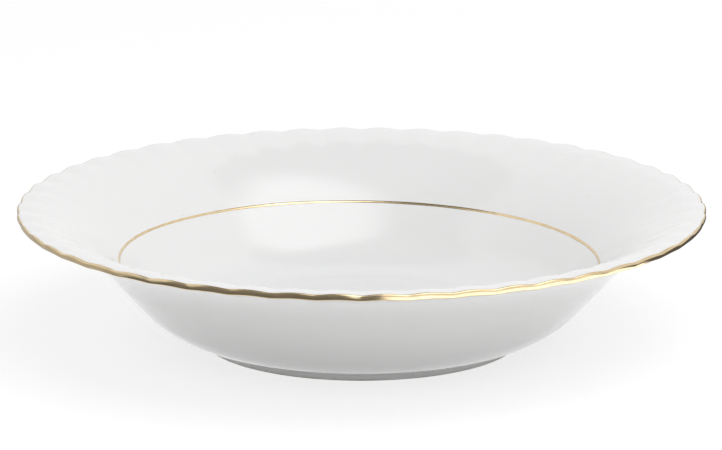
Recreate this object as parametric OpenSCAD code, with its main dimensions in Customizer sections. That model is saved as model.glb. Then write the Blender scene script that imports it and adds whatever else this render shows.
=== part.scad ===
// Porcelain serving bowl on a low foot ring. Its flange is pressed into shallow
// radial flutes that end in a lobed lip with a gilded edge. The origin is on the
// surface that the bowl stands on, under its centre, and +Z is up.

/* [Bowl] */
// Diameter over the lobes of the gilded lip
rim_d = 260; // [216:1:320]
// Height from the standing surface to the top of the lobes
bowl_h = 52; // [42:0.5:63]
// Thickness of the clay in the middle of the floor
floor_t = 5.3; // [3:0.1:7]
// Thickness of the clay in the wall, just under the gold line
wall_t = 4.5; // [2.5:0.1:5.5]
// Radius of the curve between the floor and the wall
well_curve = 36; // [26:1:45]
// Slope of the straight part of the wall, in degrees
wall_slope = 48; // [44:1:56]

/* [Flange and lip] */
// Radius of the curve in which the flange turns outwards
flange_curve = 73; // [55:1:85]
// Slope of the flange where it runs into the lip, in degrees
flange_slope = 20; // [14:1:26]
// Radius of the curve that flattens the flange into the lip
lip_curve = 16; // [8:1:30]
// Width of the flat lip
lip_w = 4; // [2:0.1:8]
// Thickness of the clay at the lip
lip_t = 2.1; // [1.5:0.1:3.5]
// How far the rounded edge of the lip bulges out
lip_bulge = 0.8; // [0.4:0.1:1.5]

/* [Flutes] */
// Number of lobes round the lip
lobes = 50; // [36:2:60]
// Depth of the grooves between the lobes, at the edge of the lip
flute_depth = 0.7; // [0.3:0.1:1.3]
// How far the edge steps in between two lobes
scallop_depth = 0.4; // [0.2:0.1:1.2]
// Part of the depth that also shows on the underside
underside_share = 0.6; // [0:0.05:0.7]
// Distance from the edge at which the flutes have died out
flute_length = 27; // [15:1:30]

/* [Foot ring] */
// Outer diameter of the foot ring where it stands
foot_d = 120; // [96:1:150]
// Height of the recess under the middle of the floor
foot_h = 1.9; // [1.2:0.1:5]
// Width of the flat standing face
foot_w = 3.2; // [2:0.1:6]
// Lean of both sides of the foot ring, in degrees
foot_lean = 14; // [5:1:25]

/* [Glaze and gold] */
// Thickness of the glaze
glaze_t = 0.3; // [0.2:0.05:0.5]
// Height above the standing face up to which the glaze is wiped away
wiped_h = 0.8; // [0.4:0.1:1]
// How far the gold stands proud of the glaze
gold_t = 0.15; // [0.1:0.05:0.3]
// Width of the gold line at the top of the wall
line_w = 1.1; // [0.6:0.1:3]

/* [Hidden] */

clay_white = [0.95, 0.95, 0.93];
glaze_white = [0.97, 0.97, 0.96];
gold = [0.76, 0.62, 0.36];

$fn = 180;
steps_per_lobe = 4;
floor_steps = 4;        // steps along each stretch of the profile
well_steps = 12;
join_steps = 2;
flange_steps = 3;
lip_steps = 2;
floor_edge_slope = 1.5; // the floor is slightly dished, and so is its underside
lip_slope = 2;
join_slope = 40;        // the turned part of the body ends here on the flange
join_lap = 0.15;        // the fluted ring laps over its end by this much
join_proud = 0.03;      // and stands this much proud of it
flute_gap = 0.5;        // the flutes start at least this far outside that join
nose_angles = [0, 30, 95, 160]; // round the edge of the lip, from its top
gilded = [1, 3];        // first and last of those angles under the gold

// How far a profile curve climbs and runs between two slopes
function rise(radius, a, b) = radius * abs(cos(b) - cos(a));
function run(radius, a, b) = radius * abs(sin(b) - sin(a));

edge_r = rim_d / 2 - glaze_t - gold_t;
lip_end_r = edge_r - lip_bulge;
floor_z = foot_h + floor_t;
wiped_z = min(wiped_h, foot_h / 2);
well_rise = rise(well_curve, floor_edge_slope, wall_slope);
well_run = run(well_curve, floor_edge_slope, wall_slope);
flange_rise = rise(flange_curve, wall_slope, flange_slope) + rise(lip_curve, flange_slope, lip_slope);
flange_run = run(flange_curve, wall_slope, flange_slope) + run(lip_curve, flange_slope, lip_slope);
lip_run = lip_w - lip_bulge;

// The straight wall takes up the height that the curves leave, and the floor the width
wall_r = lip_end_r - lip_run - flange_run;
wall_top_z = bowl_h - glaze_t - lip_run * tan(lip_slope) - flange_rise;
dish_share = tan(floor_edge_slope) / 2; // depth of the dish over the radius of the floor
// floor_r * dish_share + wall_run * tan(wall_slope) = climb, with floor_r + wall_run = reach
climb = wall_top_z - floor_z - well_rise;
reach = wall_r - well_run;
wall_run = (climb - reach * dish_share) / (tan(wall_slope) - dish_share);
floor_r = reach - wall_run;
dish = floor_r * dish_share;
flute_start_r = max(edge_r - flute_length, wall_r + run(flange_curve, wall_slope, join_slope) + flute_gap);

// Points of the clay's upper face, each as [radius, height, slope in degrees]
function bend(from, slope, radius, count) =
    let (side = sign(slope - from[2]),
         centre = [from[0] - side * radius * sin(from[2]), from[1] + side * radius * cos(from[2])])
    [for (k = [1:count]) let (t = from[2] + (slope - from[2]) * k / count)
        [centre[0] + side * radius * sin(t), centre[1] - side * radius * cos(t), t]];

floor_points = [for (k = [0:floor_steps]) let (share = k / floor_steps)
    [floor_r * share, floor_z + dish * share * share, atan(2 * dish_share * share)]];
well_points = bend(floor_points[floor_steps], wall_slope, well_curve, well_steps);
wall_top = [wall_r, wall_top_z, wall_slope];
join_points = bend(wall_top, join_slope, flange_curve, join_steps);
turned_points = concat(floor_points, well_points, [wall_top], join_points);

flange_points = bend(join_points[join_steps - 1], flange_slope, flange_curve, flange_steps);
lip_points = bend(flange_points[flange_steps - 1], lip_slope, lip_curve, lip_steps);
lip_end = [lip_end_r, lip_points[lip_steps - 1][1] + lip_run * tan(lip_slope), lip_slope];
upper_points = concat(flange_points, lip_points);
lower_points = [lip_points[lip_steps - 1], flange_points[flange_steps - 1], flange_points[0]];

// The clay thins from the floor to the wall, and again from the wall to the lip
function clay_t(p) = p[0] <= wall_r
    ? floor_t + (wall_t - floor_t) * p[2] / wall_slope
    : wall_t + (lip_t - wall_t) * (p[0] - wall_r) / (lip_end_r - wall_r);

// The point at height d over the clay's upper face, and at depth d under its lower face
function over(p, d) = [p[0] - d * sin(p[2]), p[1] + d * cos(p[2])];
function under(p, d) = over(p, -clay_t(p) - d);

// The point at height d over the lip's rounded edge, at an angle from its top
function nose(angle, d) =
    let (middle = over(lip_end, -lip_t / 2),
         up = (lip_t / 2 + d) * cos(angle),
         out = (lip_bulge + d) * sin(angle))
    [middle[0] + out * cos(lip_slope) - up * sin(lip_slope),
     middle[1] + out * sin(lip_slope) + up * cos(lip_slope)];

function underside(d) = [for (p = turned_points) under(p, d)];

function reversed(list) = [for (k = [len(list) - 1:-1:0]) list[k]];

// The foot ring's outer side (1) and inner side (-1) with a layer of glaze on it:
// its point at a height, how far a point lies beyond it, and where a line of points
// that runs outwards crosses it
function foot_side(z, side, layer) =
    [foot_d / 2 - (side < 0 ? foot_w : 0) + side * (layer + z * tan(foot_lean)), z];
function beyond(p, side, layer) = p[0] - foot_side(p[1], side, layer)[0];
function crossing(line, side, layer) = [for (k = [0:len(line) - 2])
    let (a = beyond(line[k], side, layer), b = beyond(line[k + 1], side, layer))
    if (a < 0 && b >= 0) line[k] + (line[k + 1] - line[k]) * a / (a - b)][0];

// Loops for the fluted ring, each point as [radius, height, share of the flute depth]
function fluted(p, share) = [p[0], p[1], share];
function nose_share(angle) = underside_share + (1 - underside_share) * (1 + cos(angle)) / 2;
lap_back = join_points[join_steps - 1] - join_lap * [cos(join_slope), sin(join_slope), 0];

function upper_loop(d) = concat(
    [fluted(over(lap_back, d + join_proud), 1)],
    [for (p = upper_points) fluted(over(p, d), 1)]);
function nose_loop(first, last, d) =
    [for (k = [first:last]) fluted(nose(nose_angles[k], d), nose_share(nose_angles[k]))];
function lower_loop(d) = concat(
    [for (p = lower_points) fluted(under(p, d), underside_share)],
    [fluted(under(lap_back, d + join_proud), underside_share)]);

// Weight of the flutes at a radius, and their depth at an angular step
function flute_weight(r) =
    let (t = min(max((r - flute_start_r) / (lip_end_r - flute_start_r), 0), 1)) t * t * (3 - 2 * t);
function groove(step) = 1 - abs(cos(180 * step / steps_per_lobe));

// A loop swept round the axis, with the flutes pressed into it. Each four-sided
// face is split from its wider to its narrower end, so that two rings that share
// a surface share its facets.
module fluted_ring(loop) {
    n = lobes * steps_per_lobe;
    m = len(loop);
    points = [for (i = [0:n - 1], p = loop)
        let (w = flute_weight(p[0]) * groove(i), r = p[0] - scallop_depth * w)
        [r * cos(360 * i / n), r * sin(360 * i / n), p[1] - flute_depth * p[2] * w]];
    faces = [for (i = [0:n - 1], k = [0:m - 1])
        let (j = (i + 1) % n, l = (k + 1) % m,
             a = i * m + k, b = j * m + k, c = j * m + l, d = i * m + l)
        each loop[k][0] > loop[l][0] ? [[a, b, c], [a, c, d]] : [[a, b, d], [b, c, d]]];
    polyhedron(points, faces, convexity = 6);
}

module turned(loop) {
    rotate_extrude() polygon(loop);
}

// Floor, wall and fluted flange, fired as one piece
module porcelain_body() {
    color(clay_white) {
        turned(concat([for (p = turned_points) over(p, 0)], reversed(underside(0))));
        fluted_ring(concat(upper_loop(0), nose_loop(0, gilded[1], 0), lower_loop(0)));
    }
}

// Ring that the bowl stands on, shaped on top to the underside of the body
module foot_ring() {
    clay = underside(0);
    color(clay_white) turned(concat(
        [foot_side(0, -1, 0), foot_side(0, 1, 0), crossing(clay, 1, 0)],
        reversed([for (p = clay) if (beyond(p, -1, 0) > 0 && beyond(p, 1, 0) < 0) p]),
        [crossing(clay, -1, 0)]));
}

// Glaze over the floor, the wall and the top of the flange
module inner_glaze() {
    color(glaze_white) {
        turned(concat([for (p = turned_points) over(p, glaze_t)],
                      [for (p = reversed(turned_points)) over(p, 0)]));
        fluted_ring(concat(upper_loop(glaze_t), nose_loop(0, gilded[0], glaze_t),
                           reversed(concat(upper_loop(0), nose_loop(0, gilded[0], 0)))));
    }
}

// Glaze from the gilded edge down the outside to the foot ring
module outer_glaze() {
    clay = underside(0);
    glaze = underside(glaze_t);
    color(glaze_white) {
        turned(concat([foot_side(wiped_z, 1, 0), crossing(clay, 1, 0)],
                      [for (p = clay) if (beyond(p, 1, 0) > 0) p],
                      reversed([for (p = glaze) if (beyond(p, 1, glaze_t) > 0) p]),
                      [crossing(glaze, 1, glaze_t), foot_side(wiped_z, 1, glaze_t)]));
        fluted_ring(concat(nose_loop(gilded[1], gilded[1], glaze_t), lower_loop(glaze_t),
                           reversed(concat(nose_loop(gilded[1], gilded[1], 0), lower_loop(0)))));
    }
}

// Glaze in the recess inside the foot ring
module recess_glaze() {
    clay = underside(0);
    glaze = underside(glaze_t);
    color(glaze_white) turned(concat(
        [for (p = clay) if (beyond(p, -1, 0) < 0) p],
        [crossing(clay, -1, 0), foot_side(wiped_z, -1, 0)],
        [foot_side(wiped_z, -1, glaze_t), crossing(glaze, -1, glaze_t)],
        reversed([for (p = glaze) if (beyond(p, -1, glaze_t) < 0) p])));
}

// Gold round the edge of the lip
module rim_gilding() {
    color(gold) fluted_ring(concat(nose_loop(gilded[0], gilded[1], glaze_t + gold_t),
                                   reversed(nose_loop(gilded[0], gilded[1], 0))));
}

// Thin gold line where the straight wall turns into the flange
module gold_line() {
    line_foot = wall_top - line_w * [cos(wall_slope), sin(wall_slope), 0];
    color(gold) turned([over(line_foot, glaze_t), over(wall_top, glaze_t),
                        over(wall_top, glaze_t + gold_t), over(line_foot, glaze_t + gold_t)]);
}

porcelain_body();
foot_ring();
inner_glaze();
outer_glaze();
recess_glaze();
rim_gilding();
gold_line();
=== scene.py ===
import bmesh
import bpy
import math
import numpy as np
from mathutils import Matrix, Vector


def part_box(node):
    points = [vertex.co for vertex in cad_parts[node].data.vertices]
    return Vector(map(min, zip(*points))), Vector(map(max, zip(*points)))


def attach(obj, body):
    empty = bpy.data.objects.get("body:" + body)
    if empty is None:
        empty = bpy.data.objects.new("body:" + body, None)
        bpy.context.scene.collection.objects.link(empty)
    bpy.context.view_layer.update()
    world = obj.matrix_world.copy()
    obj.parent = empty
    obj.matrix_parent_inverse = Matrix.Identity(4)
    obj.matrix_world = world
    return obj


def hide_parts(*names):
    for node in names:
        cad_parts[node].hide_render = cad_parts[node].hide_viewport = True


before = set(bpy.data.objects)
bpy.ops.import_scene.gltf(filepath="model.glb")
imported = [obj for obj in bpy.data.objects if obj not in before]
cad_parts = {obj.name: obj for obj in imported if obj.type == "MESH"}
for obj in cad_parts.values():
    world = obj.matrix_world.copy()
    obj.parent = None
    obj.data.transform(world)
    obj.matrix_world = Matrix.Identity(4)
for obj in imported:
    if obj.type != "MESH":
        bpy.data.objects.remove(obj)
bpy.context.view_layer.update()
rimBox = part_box("rim_gilding")
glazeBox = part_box("inner_glaze")
mm = 0.001
print("bowl: frame loaded")

# the bowl as its maker would give it: millimetres, and slopes in degrees
bowl = {
    "floorThickness": 5.3,
    "wallThickness": 4.5,
    "floorSlope": 1.5,       # at the edge of the dished floor
    "wellCurve": 36,
    "wallSlope": 48,
    "flangeCurve": 73,
    "flangeSlope": 20,
    "lipCurve": 16,
    "lipWidth": 4,
    "lipSlope": 2,
    "lipThickness": 2.1,
    "lipBulge": 0.8,
    "glaze": 0.3,
    "goldRoom": 0.15,        # between the glaze and the widest part of the gold
    "warp": 0.15,            # how far the kiln let the rim sag, at most
    "outOfRound": 0.12,
    "warpFrom": 0.5,         # share of the radius inside which nothing sagged
    "sagTurn": 0.9,          # radians by which the sag and the squeeze are turned round the bowl
    "squeezeTurn": -0.4,
}

# how many steps each stretch of the profile is cut into, from the middle out
steps = {"floor": 12, "well": 24, "wall": 8, "flange": 24, "lipCurve": 9, "lip": 3}

flutes = {
    "lobes": 50,
    "depth": 0.7,
    "scallop": 0.4,
    "underside": 0.6,        # share of the depth that shows underneath
    "length": 27,
    "softness": 0.35,        # how rounded the grooves are
    "uneven": 0.14,          # how much shallower the shallowest groove is
    "seed": 11,
    # where the mesh is cut within one lobe, closest at its groove
    "cuts": (0, 0.12, 0.24, 0.34, 0.42, 0.47, 0.5, 0.53, 0.58, 0.66, 0.76, 0.88),
}

foot = {
    "width": 120,            # where it stands
    "face": 3.2,
    "recess": 1.9,
    "lean": 14,
    "wiped": 0.8,            # bare of glaze up to here
    "edge": 0.35,            # rounding of the bare edges
    "wipedWander": 0.15,
    "wipedWaves": (2, 13),   # the slowest and the fastest of the waves it wanders in, round the bowl
    "fillet": 1.2,           # glaze that gathers where the foot meets the wall
}


def sind(angle):
    return math.sin(math.radians(angle))


def cosd(angle):
    return math.cos(math.radians(angle))


def tand(angle):
    return math.tan(math.radians(angle))


# a bend of the profile: points as (radius, height, slope), the first one left out
def bend(start, slope, radius, count):
    side = 1 if slope > start[2] else -1
    middle = (start[0] - side * radius * sind(start[2]), start[1] + side * radius * cosd(start[2]))
    points = []
    for step in range(1, count + 1):
        turn = start[2] + (slope - start[2]) * step / count
        points.append((middle[0] + side * radius * sind(turn), middle[1] - side * radius * cosd(turn), turn))
    return points


# a straight stretch of the profile, the first point left out
def straight(start, run, count):
    points = []
    for step in range(1, count + 1):
        along = run * step / count
        points.append((start[0] + along, start[1] + along * tand(start[2]), start[2]))
    return points


# the clay's upper face from the middle of the floor to the lip, laid out from the lip inwards
def upperFace():
    b = bowl
    layers = b["glaze"] + b["lipBulge"]
    lipEnd = rimBox[1].x / mm - (layers + b["goldRoom"]) * cosd(b["lipSlope"])
    lipEnd -= b["lipThickness"] / 2 * sind(b["lipSlope"])
    lipStart = lipEnd - (b["lipWidth"] - b["lipBulge"])
    top = glazeBox[1].z / mm - b["glaze"] * cosd(b["lipSlope"])
    wallTop = lipStart
    climb = top - (lipEnd - lipStart) * tand(b["lipSlope"]) - foot["recess"] - b["floorThickness"]
    for radius, low, high in ((b["lipCurve"], b["lipSlope"], b["flangeSlope"]),
                              (b["flangeCurve"], b["flangeSlope"], b["wallSlope"])):
        wallTop -= radius * (sind(high) - sind(low))
        climb -= radius * (cosd(low) - cosd(high))
    wellRun = b["wellCurve"] * (sind(b["wallSlope"]) - sind(b["floorSlope"]))
    climb -= b["wellCurve"] * (cosd(b["floorSlope"]) - cosd(b["wallSlope"]))
    dish = tand(b["floorSlope"]) / 2
    reach = wallTop - wellRun
    wallRun = (climb - reach * dish) / (tand(b["wallSlope"]) - dish)
    floorRadius = reach - wallRun
    floorHeight = foot["recess"] + b["floorThickness"]
    points = []
    for step in range(steps["floor"] + 1):
        share = step / steps["floor"]
        slope = math.degrees(math.atan(2 * dish * share))
        points.append((floorRadius * share, floorHeight + floorRadius * dish * share ** 2, slope))
    points += bend(points[-1], b["wallSlope"], b["wellCurve"], steps["well"])
    points += straight(points[-1], wallRun, steps["wall"])
    points += bend(points[-1], b["flangeSlope"], b["flangeCurve"], steps["flange"])
    points += bend(points[-1], b["lipSlope"], b["lipCurve"], steps["lipCurve"])
    points += straight(points[-1], lipEnd - lipStart, steps["lip"])
    return np.array(points), wallTop, lipEnd


face, wallTop, lipEnd = upperFace()
edgeRadius = rimBox[1].x / mm - bowl["glaze"] - bowl["goldRoom"]

# distance along the face, counted outwards from the top of the straight wall
faceLength = np.concatenate(([0], np.cumsum(np.hypot(np.diff(face[:, 0]), np.diff(face[:, 1])))))
faceLength -= np.interp(wallTop, face[:, 0], faceLength)


# every point from here on is (radius, height, share of the flute depth)
def over(points, height, share=1.0):
    slope = np.radians(points[..., 2])
    return np.stack((points[..., 0] - height * np.sin(slope), points[..., 1] + height * np.cos(slope),
                     np.full(slope.shape, share)), axis=-1)


# the underside of the clay, with a layer under it
def under(points, layer):
    b = bowl
    steepness = points[:, 2] / b["wallSlope"]
    well = b["floorThickness"] + (b["wallThickness"] - b["floorThickness"]) * steepness
    outward = (points[:, 0] - wallTop) / (lipEnd - wallTop)
    flange = b["wallThickness"] + (b["lipThickness"] - b["wallThickness"]) * outward
    clay = np.where(points[:, 0] <= wallTop, well, flange)
    return over(points, -clay - layer, flutes["underside"])


# round the edge of the lip, by angle from its top
def nose(turn, layer):
    b = bowl
    middle = over(face[-1], -b["lipThickness"] / 2)
    turn = np.radians(turn)
    up = (b["lipThickness"] / 2 + layer) * np.cos(turn)
    out = (b["lipBulge"] + layer) * np.sin(turn)
    tilt = math.radians(b["lipSlope"])
    share = flutes["underside"] + (1 - flutes["underside"]) * (1 + np.cos(turn)) / 2
    return np.stack((middle[0] + out * math.cos(tilt) - up * math.sin(tilt),
                     middle[1] + out * math.sin(tilt) + up * math.cos(tilt), share), axis=-1)


# the foot ring's outer side (1) or inner side (-1), with a layer on it
def footSide(height, side, layer):
    standing = foot["width"] / 2 - (foot["face"] if side < 0 else 0)
    radius = standing + side * (layer + np.asarray(height) * tand(foot["lean"]))
    return np.stack((radius, radius * 0 + height, radius * 0), axis=-1)


# how far points lie outside that side
def beyondFoot(points, side, layer):
    return points[:, 0] - footSide(points[:, 1], side, layer)[..., 0]


# where a line of points that runs outwards meets that side
def crossing(line, side, layer):
    beyond = beyondFoot(line, side, layer)
    k = int(np.argmax(beyond >= 0))
    share = beyond[k - 1] / (beyond[k - 1] - beyond[k])
    return line[k - 1] + share * (line[k] - line[k - 1])


# a rounded corner, from one point to the other
def rounded(start, corner, end, count=7):
    t = np.linspace(0, 1, count)[:, None]
    start, corner, end = (np.expand_dims(point, -2) for point in (start, corner, end))
    return (1 - t) ** 2 * start + 2 * t * (1 - t) * corner + t ** 2 * end


# outlines run along the side that shows and come back along the clay
def joined(*parts):
    full = [np.broadcast_to(part, (len(angles), *np.shape(part)[-2:])) for part in parts]
    return np.concatenate(full, axis=1)


# angles round the bowl, closer together at the grooves, and how deep each one lies
def flutedAngles():
    f = flutes
    random = np.random.default_rng(f["seed"])
    within = np.array(f["cuts"])
    ridge = np.sqrt(np.cos(np.pi * within) ** 2 + f["softness"] ** 2)
    highest = math.hypot(1, f["softness"])
    angles, grooves = [], []
    for lobe in range(f["lobes"]):
        depth = 1 - f["uneven"] * random.random()
        grooves.append(depth * (highest - ridge) / (highest - f["softness"]))
        angles.append((lobe + within) / f["lobes"] * 2 * math.pi)
    return np.concatenate(angles), np.concatenate(grooves)


angles, grooves = flutedAngles()
fluteStart = edgeRadius - flutes["length"]


# a smooth wander round the bowl, as a hand makes it
def wander(size, slowest, fastest, seed, weakest=0.4):
    random = np.random.default_rng(seed)
    total = np.zeros(len(angles))
    for turns in range(slowest, fastest + 1):
        total += random.uniform(weakest, 1) * np.cos(turns * angles + random.uniform(0, 2 * math.pi))
    return size * total / np.abs(total).max()


# from nothing to full and back, twice round the bowl
def swell(turn):
    return (0.5 - 0.5 * np.cos(2 * angles + turn))[:, None]


touchesAxis = 0.001          # a point nearer the axis than this is on it
sharpFrom = 38               # degrees between faces from which an edge stays sharp


# a closed outline swept round the axis, with the flutes and the warp of the kiln in it
def sweep(name, outline, material):
    outline = joined(outline)
    radius, height, share = outline[..., 0], outline[..., 1], outline[..., 2]
    reach = np.clip((radius - fluteStart) / (lipEnd - fluteStart), 0, 1)
    groove = reach ** 2 * (3 - 2 * reach) * grooves[:, None]
    outward = np.clip((radius / edgeRadius - bowl["warpFrom"]) / (1 - bowl["warpFrom"]), 0, 1) ** 2
    sag = bowl["warp"] * outward * swell(bowl["sagTurn"])
    squeeze = bowl["outOfRound"] * outward * swell(bowl["squeezeTurn"])
    r = radius - flutes["scallop"] * groove - squeeze
    z = height - flutes["depth"] * share * groove - sag
    onAxis = (radius < touchesAxis).all(axis=0)
    r[:, onAxis] = 0
    points = np.stack((r * np.cos(angles)[:, None], r * np.sin(angles)[:, None], z), axis=-1) * mm

    index = np.arange(radius.size).reshape(radius.shape)
    index[:, onAxis] = index[0, onAxis]
    faces = []
    last = radius.shape[1]
    for k in range(last):
        l = (k + 1) % last
        if onAxis[k] and onAxis[l]:
            continue
        for i in range(len(angles)):
            j = (i + 1) % len(angles)
            corners = [index[i, k], index[i, l], index[j, l], index[j, k]]
            faces.append([int(corner) for corner in dict.fromkeys(corners)])
    mesh = bpy.data.meshes.new(name)
    mesh.from_pydata(points.reshape(-1, 3).tolist(), [], faces)
    tidy = bmesh.new()
    tidy.from_mesh(mesh)
    bmesh.ops.delete(tidy, geom=[v for v in tidy.verts if not v.link_faces], context="VERTS")
    bmesh.ops.recalc_face_normals(tidy, faces=tidy.faces)
    tidy.to_mesh(mesh)
    tidy.free()
    mesh.shade_smooth()
    mesh.set_sharp_from_angle(angle=math.radians(sharpFrom))
    mesh.materials.append(material)
    piece = bpy.data.objects.new(name, mesh)
    bpy.context.scene.collection.objects.link(piece)
    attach(piece, "root")
    return piece


def newGroup(name, inputs, outputs):
    tree = bpy.data.node_groups.new(name, "ShaderNodeTree")
    for label, value in inputs.items():
        socket = tree.interface.new_socket(name=label, in_out="INPUT", socket_type="NodeSocketFloat")
        socket.default_value = value
    for label in outputs:
        tree.interface.new_socket(name=label, in_out="OUTPUT", socket_type="NodeSocketFloat")
    return tree, tree.nodes.new("NodeGroupInput"), tree.nodes.new("NodeGroupOutput")


# a node with its settings, and its sockets linked or filled in
def addNode(tree, kind, sockets, **settings):
    node = tree.nodes.new(kind)
    for label, value in settings.items():
        setattr(node, label, value)
    for label, value in sockets.items():
        if isinstance(value, bpy.types.NodeSocket):
            tree.links.new(value, node.inputs[label])
        else:
            node.inputs[label].default_value = value
    return node


def calculate(tree, operation, first, second):
    return addNode(tree, "ShaderNodeMath", {0: first, 1: second}, operation=operation).outputs[0]


def ramp(tree, value, low, high, start=0.0, end=1.0):
    sockets = {"Value": value, "From Min": low, "From Max": high, "To Min": start, "To Max": end}
    return addNode(tree, "ShaderNodeMapRange", sockets, interpolation_type="SMOOTHSTEP").outputs[0]


def place(tree):
    return tree.nodes.new("ShaderNodeTexCoord").outputs["Object"]


def noise(tree, scale, detail):
    sockets = {"Vector": place(tree), "Scale": scale, "Detail": detail}
    return addNode(tree, "ShaderNodeTexNoise", sockets).outputs[0]


# distance from the bowl's axis, in metres
def fromAxis(tree):
    flat = addNode(tree, "ShaderNodeVectorMath", {0: place(tree), 1: (1, 1, 0)}, operation="MULTIPLY")
    return addNode(tree, "ShaderNodeVectorMath", {0: flat.outputs[0]}, operation="LENGTH").outputs["Value"]


# glass-smooth surface that still drifts a little, with a fine orange peel
def makeRippleGroup():
    inputs = {"Drift": 26.0, "Peel": 420.0, "Peel Share": 0.02}
    tree, given, result = newGroup("surfaceRipple", inputs, ["Height"])
    drift = noise(tree, given.outputs["Drift"], 2.0)
    peel = noise(tree, given.outputs["Peel"], 1.0)
    fine = calculate(tree, "MULTIPLY", peel, given.outputs["Peel Share"])
    tree.links.new(calculate(tree, "ADD", drift, fine), result.inputs["Height"])
    return tree


# tiny iron specks and pinholes, a few on the whole bowl
def makeSpeckGroup():
    tree, given, result = newGroup("kilnSpecks", {"Spread": 260.0, "Size": 0.04, "Rare": 0.9}, ["Mask"])
    cells = addNode(tree, "ShaderNodeTexVoronoi", {"Vector": place(tree), "Scale": given.outputs["Spread"]})
    ragged = calculate(tree, "ADD", noise(tree, 2600.0, 2.0), 0.5)
    edge = calculate(tree, "MULTIPLY", given.outputs["Size"], ragged)
    dot = calculate(tree, "LESS_THAN", cells.outputs["Distance"], edge)
    chosen = addNode(tree, "ShaderNodeSeparateColor", {"Color": cells.outputs["Color"]})
    rare = calculate(tree, "GREATER_THAN", chosen.outputs[0], given.outputs["Rare"])
    tree.links.new(calculate(tree, "MULTIPLY", dot, rare), result.inputs["Mask"])
    return tree


# the gilder's brush runs round the bowl, so its streaks do too; the gold is thin here and there
def makeGildingGroup():
    inputs = {"Streaks": 900.0, "Along": 0.02, "Thin": 0.72, "Streak Share": 0.6, "Fade": 0.06}
    tree, given, result = newGroup("handGilding", inputs, ["Shade", "Height", "Bare"])
    outward = fromAxis(tree)
    spot = addNode(tree, "ShaderNodeSeparateXYZ", {0: place(tree)})
    turned = {}
    for axis in ("X", "Y"):
        onCircle = calculate(tree, "DIVIDE", spot.outputs[axis], outward)
        turned[axis] = calculate(tree, "MULTIPLY", onCircle, given.outputs["Along"])
    along = addNode(tree, "ShaderNodeCombineXYZ", {**turned, "Z": spot.outputs["Z"]})
    sockets = {"Vector": along.outputs[0], "W": outward, "Scale": given.outputs["Streaks"],
               "Detail": 3.0, "Roughness": 0.6}
    streaks = addNode(tree, "ShaderNodeTexNoise", sockets, noise_dimensions="4D").outputs[0]
    cloud = noise(tree, 60.0, 2.0)
    cloudShare = calculate(tree, "SUBTRACT", 1.0, given.outputs["Streak Share"])
    mixed = calculate(tree, "ADD", calculate(tree, "MULTIPLY", streaks, given.outputs["Streak Share"]),
                      calculate(tree, "MULTIPLY", cloud, cloudShare))
    tree.links.new(mixed, result.inputs["Shade"])
    tree.links.new(streaks, result.inputs["Height"])
    grit = calculate(tree, "ADD", noise(tree, 1500.0, 3.0), 0.5)
    worn = calculate(tree, "MULTIPLY", cloud, grit)
    thinnest = calculate(tree, "ADD", given.outputs["Thin"], given.outputs["Fade"])
    tree.links.new(ramp(tree, worn, given.outputs["Thin"], thinnest), result.inputs["Bare"])
    return tree


ripple = makeRippleGroup()
specks = makeSpeckGroup()
brushwork = makeGildingGroup()


def useGroup(tree, group, **inputs):
    node = tree.nodes.new("ShaderNodeGroup")
    node.node_tree = group
    for label, value in inputs.items():
        node.inputs[label].default_value = value
    return node


def newMaterial(name):
    material = bpy.data.materials.new(name)
    material.use_nodes = True
    tree = material.node_tree
    return material, tree, tree.nodes["Principled BSDF"]


def mixColour(tree, share, first, second):
    node = tree.nodes.new("ShaderNodeMix")
    node.data_type = "RGBA"
    for socket, value in ((node.inputs[0], share), (node.inputs[6], first), (node.inputs[7], second)):
        if isinstance(value, bpy.types.NodeSocket):
            tree.links.new(value, socket)
        elif isinstance(value, tuple):
            socket.default_value = (*value, 1)
        else:
            socket.default_value = value
    return node.outputs[2]


def addBump(tree, shader, height, distance):
    bump = addNode(tree, "ShaderNodeBump", {"Height": height, "Strength": 1.0, "Distance": distance * mm})
    tree.links.new(bump.outputs[0], shader.inputs["Normal"])


glazeLook = {
    "white": (0.9, 0.9, 0.895),
    "pooled": (0.852, 0.862, 0.857),     # cooler where it lies thick, on the floor of the well
    "poolEdge": (0.9, 1.07),           # shares of the pool's radius between which it thins out
    "clouds": 0.12,                    # how much of the pooled colour drifts over the rest
    "cloudScale": 14.0,
    "speck": (0.33, 0.29, 0.24),
    "speckSpread": 260,                # cells to the metre
    "speckSize": 0.04,                 # share of a cell
    "speckRare": 0.9,                  # share of the cells without one
    "smearScale": 45.0,
    "smear": (0.35, 0.75),             # the part of the smears' pattern that tells on the roughness
    "roughness": (0.1, 0.16),
    "ripple": 0.05,                    # millimetres
}


def makeGlaze(name, poolRadius):
    look = glazeLook
    material, tree, shader = newMaterial(name)
    shader.inputs["IOR"].default_value = 1.52
    surface = useGroup(tree, ripple)
    dots = useGroup(tree, specks, Spread=look["speckSpread"], Size=look["speckSize"], Rare=look["speckRare"])
    pool = ramp(tree, fromAxis(tree), *(poolRadius * share * mm for share in look["poolEdge"]))
    cloud = calculate(tree, "MULTIPLY", noise(tree, look["cloudScale"], 2.0), look["clouds"])
    tint = mixColour(tree, pool, look["pooled"], look["white"])
    uneven = mixColour(tree, cloud, tint, look["pooled"])
    tree.links.new(mixColour(tree, dots.outputs["Mask"], uneven, look["speck"]), shader.inputs["Base Color"])
    smear = ramp(tree, noise(tree, look["smearScale"], 4.0), *look["smear"], *look["roughness"])
    tree.links.new(smear, shader.inputs["Roughness"])
    addBump(tree, shader, surface.outputs["Height"], look["ripple"])
    return material


goldLook = {
    "bright": (0.78, 0.63, 0.4),
    "deep": (0.58, 0.45, 0.27),
    "bare": (0.80, 0.77, 0.70),        # the glaze under worn gold
    "roughness": (0.13, 0.26),
    "shades": (0.3, 0.7),              # the parts of the brush's pattern that tell on colour and on polish
    "polish": (0.25, 0.75),
    "brush": 0.012,                    # millimetres
}


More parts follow.
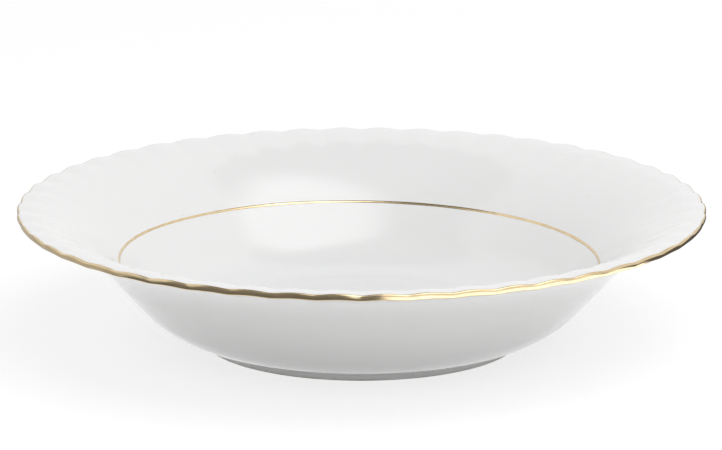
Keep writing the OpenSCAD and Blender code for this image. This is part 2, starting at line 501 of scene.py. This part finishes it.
def makeGold(name, streaks, thin):
    look = goldLook
    material, tree, shader = newMaterial(name)
    brush = useGroup(tree, brushwork, Streaks=streaks, Thin=thin)
    shade = ramp(tree, brush.outputs["Shade"], *look["shades"])
    metal = mixColour(tree, shade, look["deep"], look["bright"])
    tree.links.new(mixColour(tree, brush.outputs["Bare"], metal, look["bare"]), shader.inputs["Base Color"])
    tree.links.new(calculate(tree, "SUBTRACT", 1.0, brush.outputs["Bare"]), shader.inputs["Metallic"])
    low, high = look["roughness"]
    polish = ramp(tree, brush.outputs["Shade"], *look["polish"], high, low)
    tree.links.new(polish, shader.inputs["Roughness"])
    addBump(tree, shader, brush.outputs["Height"], look["brush"])
    return material


clayLook = {
    "clay": (0.88, 0.87, 0.84),
    "shade": (0.8, 0.79, 0.75),
    "patchScale": 55.0,
    "shadePatches": (0.35, 0.7),       # the parts of the patches' pattern that are shaded and scuffed
    "scuffPatches": (0.42, 0.62),
    "rubbed": (0.47, 0.44, 0.40),      # grey from tables and shelves, on the standing edge
    "rubbedShare": 0.55,
    "roughness": (0.62, 0.85),
    "grainScale": 2200.0,
    "grainSpan": (0.3, 0.7),
    "grain": 0.02,                     # millimetres
}


def makeClay(name, rubbedUpTo):
    look = clayLook
    material, tree, shader = newMaterial(name)
    shader.inputs["IOR"].default_value = 1.5
    grain = noise(tree, look["grainScale"], 4.0)
    patch = noise(tree, look["patchScale"], 3.0)
    dots = useGroup(tree, specks, Spread=260.0, Size=0.12, Rare=0.8)
    clay = mixColour(tree, ramp(tree, patch, *look["shadePatches"]), look["clay"], look["shade"])
    spot = addNode(tree, "ShaderNodeSeparateXYZ", {0: place(tree)})
    low = ramp(tree, spot.outputs["Z"], 0.0, rubbedUpTo * mm, 1.0, 0.0)
    scuffed = calculate(tree, "MULTIPLY", low, ramp(tree, patch, *look["scuffPatches"]))
    worn = mixColour(tree, calculate(tree, "MULTIPLY", scuffed, look["rubbedShare"]), clay, look["rubbed"])
    tree.links.new(mixColour(tree, dots.outputs["Mask"], worn, look["rubbed"]), shader.inputs["Base Color"])
    roughness = ramp(tree, grain, *look["grainSpan"], *look["roughness"])
    tree.links.new(roughness, shader.inputs["Roughness"])
    addBump(tree, shader, grain, look["grain"])
    return material


insideGlaze = makeGlaze("insideGlaze", poolRadius=73)
outsideGlaze = makeGlaze("outsideGlaze", poolRadius=1)
recessGlaze = makeGlaze("recessGlaze", poolRadius=52)
edgeGold = makeGold("edgeGold", streaks=900.0, thin=0.86)
lineGold = makeGold("lineGold", streaks=1400.0, thin=0.84)
firedClay = makeClay("firedClay", rubbedUpTo=0.5)
bareClay = makeClay("bareFootClay", rubbedUpTo=0.6)
print("bowl: materials made")


# one point in three is enough where nothing shows
hidden = np.vstack((face[:-1:3], face[-1:]))

gilding = {
    "from": 29,              # degrees round the edge of the lip, from its top
    "to": 160,
    "lap": 9,                # degrees by which it laps over the glaze
    "sunk": 0.04,            # how deep its underside lies in the glaze, in millimetres
    "thickness": 0.13,       # over the glaze
    "feather": 0.16,         # share of the width in which it thins out at a border
    "thinnest": 0.02,        # what is left at the border, before the rounding
    "topWander": 9,          # degrees
    "topWaves": (3, 60),
    "lowWander": 4,
    "lowWaves": (3, 40),
}

# points along each rounded stretch of an outline
counts = {"body": 7, "insideBorder": 5, "outsideBorder": 4, "softEdge": 5, "gold": 17, "goldBack": 5,
          "line": 7}


# the fired body, covered all over by glaze and gold
def makeBody():
    turn = np.linspace(0, gilding["to"], counts["body"])[1:]
    outline = joined(over(hidden, 0), nose(turn, 0), under(hidden, 0)[::-1])
    piece = sweep("porcelainBody", outline, firedClay)
    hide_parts("porcelain_body")


makeBody()


# glaze over the floor, the wall and the top of the flange, under the gold's border
def makeInsideGlaze():
    turn = np.linspace(0, gilding["from"] + gilding["lap"], counts["insideBorder"])[1:]
    outline = joined(over(face, bowl["glaze"]), nose(turn, bowl["glaze"]), nose(turn[::-2], 0),
                     over(hidden, 0)[::-1])
    piece = sweep("insideGlaze", outline, insideGlaze)
    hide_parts("inner_glaze")


makeInsideGlaze()
print("bowl: body and inside glaze made")

# where the glaze ends on the foot, as a sponge leaves it
wipedLine = foot["wiped"] + wander(foot["wipedWander"], *foot["wipedWaves"], seed=5)


# the glaze's edge on the foot, rounded off to the clay
def glazeEnd(side):
    layer = bowl["glaze"]
    start = footSide(wipedLine + layer, side, layer)
    corner = footSide(wipedLine, side, layer)
    return rounded(start, corner, footSide(wipedLine, side, 0), counts["softEdge"])


# the glaze's surface from an underside line to the foot, with the corner filled in
def glazeAtFoot(line, side):
    layer = bowl["glaze"]
    corner = crossing(line, side, layer)
    beyond = side * beyondFoot(line, side, layer)
    clear = line[beyond > foot["fillet"]]
    if side < 0:
        clear = clear[::-1]
    near = clear[0]
    low = footSide(corner[1] - foot["fillet"] * cosd(foot["lean"]), side, layer)
    away = corner + (near - corner) * foot["fillet"] / math.hypot(*(near - corner)[:2])
    return clear[::-1], rounded(away, corner, low)


# glaze from the gold down the outside to the foot ring
def makeOutsideGlaze():
    clay = under(hidden, 0)
    shown, corner = glazeAtFoot(under(face, bowl["glaze"]), 1)
    turn = np.linspace(gilding["to"] - gilding["lap"], 180, counts["outsideBorder"])[:-1]
    back = clay[beyondFoot(clay, 1, 0) > 0]
    outline = joined(nose(turn, bowl["glaze"]), shown, corner, glazeEnd(1),
                     crossing(clay, 1, 0)[None], back, nose(turn[::-1], 0))
    piece = sweep("outsideGlaze", outline, outsideGlaze)
    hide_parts("outer_glaze")


makeOutsideGlaze()


# glaze in the recess inside the foot ring
def makeRecessGlaze():
    clay = under(hidden, 0)
    shown, corner = glazeAtFoot(under(face, bowl["glaze"]), -1)
    back = clay[beyondFoot(clay, -1, 0) < 0]
    outline = joined(shown, corner, glazeEnd(-1), crossing(clay, -1, 0)[None], back[::-1])
    piece = sweep("recessGlaze", outline, recessGlaze)
    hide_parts("recess_glaze")


makeRecessGlaze()


# the ring it stands on: bare clay, ground flat, with its two edges rubbed round
def makeFootRing():
    clay = under(hidden, 0)
    edge = foot["edge"]
    sides = []
    for side in (1, -1):
        corner = footSide(0, side, 0)
        flat = corner - np.array([side * edge, 0, 0])
        sides.append(rounded(flat, corner, footSide(edge, side, 0), counts["softEdge"]))
    top = clay[(beyondFoot(clay, -1, 0) > 0) & (beyondFoot(clay, 1, 0) < 0)]
    outline = joined(sides[0], crossing(clay, 1, 0)[None], top[::-1], crossing(clay, -1, 0)[None],
                     sides[1][::-1])
    piece = sweep("footRing", outline, bareClay)
    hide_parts("foot_ring")


makeFootRing()
print("bowl: outside glaze, recess glaze and foot ring made")


# thickness of a painted band across its width, thinning out to both borders
def painted(across, feather):
    nearest = np.minimum(across, 1 - across)
    return np.sqrt(np.clip(nearest / feather, gilding["thinnest"], 1))


# gold brushed round the edge of the lip and a little over the glaze on both sides
def makeRimGold():
    g = gilding
    top = g["from"] + wander(g["topWander"], *g["topWaves"], seed=21)
    low = g["to"] + wander(g["lowWander"], *g["lowWaves"], seed=22)
    across = np.linspace(0, 1, counts["gold"])
    turn = top[:, None] + (low - top)[:, None] * across
    shown = nose(turn, bowl["glaze"] + g["thickness"] * painted(across, g["feather"]))
    sunk = bowl["glaze"] - g["sunk"]
    back = np.linspace(g["to"] - g["lap"], g["from"] + g["lap"], counts["goldBack"])
    outline = joined(shown, nose(low[:, None], sunk), nose(back[:1], sunk), nose(back, 0),
                     nose(back[-1:], sunk), nose(top[:, None], sunk))
    piece = sweep("rimGold", outline, edgeGold)
    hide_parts("rim_gilding")


makeRimGold()

line = {
    "width": 1.1,
    "widthWander": 0.12,
    "widthWaves": (4, 30),
    "height": 0.11,
    "feather": 0.3,
    "offLevel": 1.3,         # how far the banding wheel let it ride up on one side and down on the other
    "highSide": 180,         # degrees from +X
    "wander": 0.12,
    "waves": (2, 9),
}


# thin gold line where the straight wall turns into the flange; its underside needs one point in three
def makeWellLine():
    across = np.linspace(0, 1, counts["line"])
    drift = line["offLevel"] * np.cos(angles - math.radians(line["highSide"]))
    drift += wander(line["wander"], *line["waves"], seed=31)
    width = line["width"] + wander(line["widthWander"], *line["widthWaves"], seed=32)
    at = (drift - line["width"] / 2)[:, None] + width[:, None] * (across - 0.5)
    points = np.stack([np.interp(at, faceLength, face[:, column]) for column in range(3)], axis=-1)
    shown = over(points, bowl["glaze"] + line["height"] * painted(across, line["feather"]))
    outline = joined(shown, over(points[:, ::-3], bowl["glaze"] - gilding["sunk"]))
    piece = sweep("wellLine", outline, lineGold)
    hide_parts("gold_line")


makeWellLine()
print("bowl: gold made")

studio = {
    "lens": 257.3,
    "film": 36,
    "aside": -0.0002,        # metres the camera stands to the right
    "distance": 1.95,
    "tilt": 14.25,           # degrees down
    "aimHeight": 0.0441,
    "floorWidth": 12,
    "floorGrey": 0.85,
    "floorSeenGrey": 0.3,    # what the camera sees of the floor, with a glow that keeps its shadow light
    "floorSeenGlow": 0.75,
    "skyLevel": 0.6,
    "keySize": (2.0, 1.5),
    "keyPlace": (0.5, -0.45, 1.6),
    "keyPower": 24,
    "keyFeather": 0.3,       # share of the softbox over which its light fades out at the sides
}

# cards round the bowl that only show in what shines, set out for the gold:
# from and to in degrees from the front towards +X, brightness on the table, height in metres of
# the upright part, and its brightness
cards = {
    "left": (-150, -62, 0.6, 0.25, 0.6),
    "front": (-62, 4, 0.2, 1.4, 0.26),
    "right": (6, 76, 2.3, 1.0, 1.2),
    "back": (76, 210, 0.12, 0.05, 0.12),
}
cardPlace = {"near": 0.14, "far": 1.1, "lift": 0.002, "turn": 2}     # metres, and degrees to a facet
ceiling = {"radius": 1.3, "height": 2.1, "brightness": 0.22}         # the dark ceiling over the softbox


def addToScene(thing):
    bpy.context.scene.collection.objects.link(thing)
    return thing


def makeCamera():
    camera = addToScene(bpy.data.objects.new("camera", bpy.data.cameras.new("camera")))
    camera.data.lens = studio["lens"]
    camera.data.sensor_width = studio["film"]
    back = studio["distance"] * cosd(studio["tilt"])
    rise = studio["distance"] * sind(studio["tilt"])
    camera.location = (studio["aside"], -back, studio["aimHeight"] + rise)
    camera.rotation_euler = (math.radians(90 - studio["tilt"]), 0, 0)
    bpy.context.scene.camera = camera


def makeFloor():
    material, tree, shader = newMaterial("paperFloor")
    shader.inputs["Roughness"].default_value = 1
    shader.inputs["Specular IOR Level"].default_value = 0
    shader.inputs["Emission Color"].default_value = (1, 1, 1, 1)
    path = tree.nodes.new("ShaderNodeLightPath")
    mirrored = calculate(tree, "MAXIMUM", path.outputs["Is Glossy Ray"], path.outputs["Is Transmission Ray"])
    paper, seenPaper = ((studio[key],) * 3 for key in ("floorGrey", "floorSeenGrey"))
    colour = mixColour(tree, path.outputs["Is Camera Ray"], paper, seenPaper)
    tree.links.new(mixColour(tree, mirrored, colour, (0, 0, 0)), shader.inputs["Base Color"])
    glow = calculate(tree, "MULTIPLY", path.outputs["Is Camera Ray"], studio["floorSeenGlow"])
    tree.links.new(calculate(tree, "ADD", glow, mirrored), shader.inputs["Emission Strength"])
    half = studio["floorWidth"] / 2
    mesh = bpy.data.meshes.new("floor")
    corners = [(-half, -half, 0), (half, -half, 0), (half, half, 0), (-half, half, 0)]
    mesh.from_pydata(corners, [], [(0, 1, 2, 3)])
    mesh.materials.append(material)
    addToScene(bpy.data.objects.new("floor", mesh))


# a plain sheet that only shows in what shines
def makeSheet(name, points, faces, brightness):
    material = bpy.data.materials.new(name)
    material.use_nodes = True
    tree = material.node_tree
    tree.nodes.remove(tree.nodes["Principled BSDF"])
    glow = addNode(tree, "ShaderNodeEmission", {"Strength": brightness})
    tree.links.new(glow.outputs[0], tree.nodes["Material Output"].inputs["Surface"])
    mesh = bpy.data.meshes.new(name)
    mesh.from_pydata(points, [], faces)
    mesh.materials.append(material)
    sheet = addToScene(bpy.data.objects.new(name, mesh))
    sheet.visible_camera = False
    sheet.visible_diffuse = False
    sheet.visible_shadow = False


# points on a circle round the bowl, by degrees from the front towards +X
def circle(radius, z, start, end):
    turns = range(start, end + 1, cardPlace["turn"])
    return [(radius * sind(turn), -radius * cosd(turn), z) for turn in turns]


def makeCard(name, start, end, onTable, height, upright):
    c = cardPlace
    edge = circle(c["far"], c["lift"], start, end)
    count = len(edge)
    faces = [(k, k + 1, k + 1 + count, k + count) for k in range(count - 1)]
    makeSheet(name + "Table", circle(c["near"], c["lift"], start, end) + edge, faces, onTable)
    makeSheet(name + "Upright", edge + circle(c["far"], c["lift"] + height, start, end), faces, upright)


def makeCeiling():
    edge = circle(ceiling["radius"], ceiling["height"], 0, 359)
    makeSheet("ceiling", edge, [tuple(range(len(edge)))], ceiling["brightness"])


def makeSky():
    sky = bpy.data.worlds.new("studio")
    sky.use_nodes = True
    bpy.context.scene.world = sky
    tree = sky.node_tree
    background = tree.nodes["Background"]
    background.inputs["Color"].default_value = (1, 1, 1, 1)
    path = tree.nodes.new("ShaderNodeLightPath")
    seen = calculate(tree, "MAXIMUM", path.outputs["Is Camera Ray"], path.outputs["Is Glossy Ray"])
    seen = calculate(tree, "MAXIMUM", seen, path.outputs["Is Transmission Ray"])
    strength = ramp(tree, seen, 0, 1, studio["skyLevel"], 1.0)
    tree.links.new(strength, background.inputs["Strength"])


# a softbox whose light fades towards its four sides
def makeKeyLight():
    light = bpy.data.lights.new("softbox", "AREA")
    light.shape = "RECTANGLE"
    light.size, light.size_y = studio["keySize"]
    light.energy = studio["keyPower"]
    light.use_nodes = True
    tree = light.node_tree
    across = tree.nodes.new("ShaderNodeNewGeometry").outputs["Parametric"]
    spot = addNode(tree, "ShaderNodeSeparateXYZ", {0: across})
    sides = []
    for axis in ("X", "Y"):
        inward = calculate(tree, "PINGPONG", spot.outputs[axis], 0.5)    # from a side to the middle
        sides.append(ramp(tree, inward, 0, studio["keyFeather"]))
    tree.links.new(calculate(tree, "MULTIPLY", *sides), tree.nodes["Emission"].inputs["Strength"])
    lamp = addToScene(bpy.data.objects.new("softbox", light))
    lamp.location = studio["keyPlace"]
    aim = Vector((0, 0, studio["aimHeight"])) - lamp.location
    lamp.rotation_euler = aim.to_track_quat("-Z", "Y").to_euler()


makeCamera()
makeFloor()
for cardName, placing in cards.items():
    makeCard(cardName, *placing)
makeCeiling()
makeSky()
makeKeyLight()
bpy.context.scene.view_settings.view_transform = "Standard"
print("bowl: studio made")
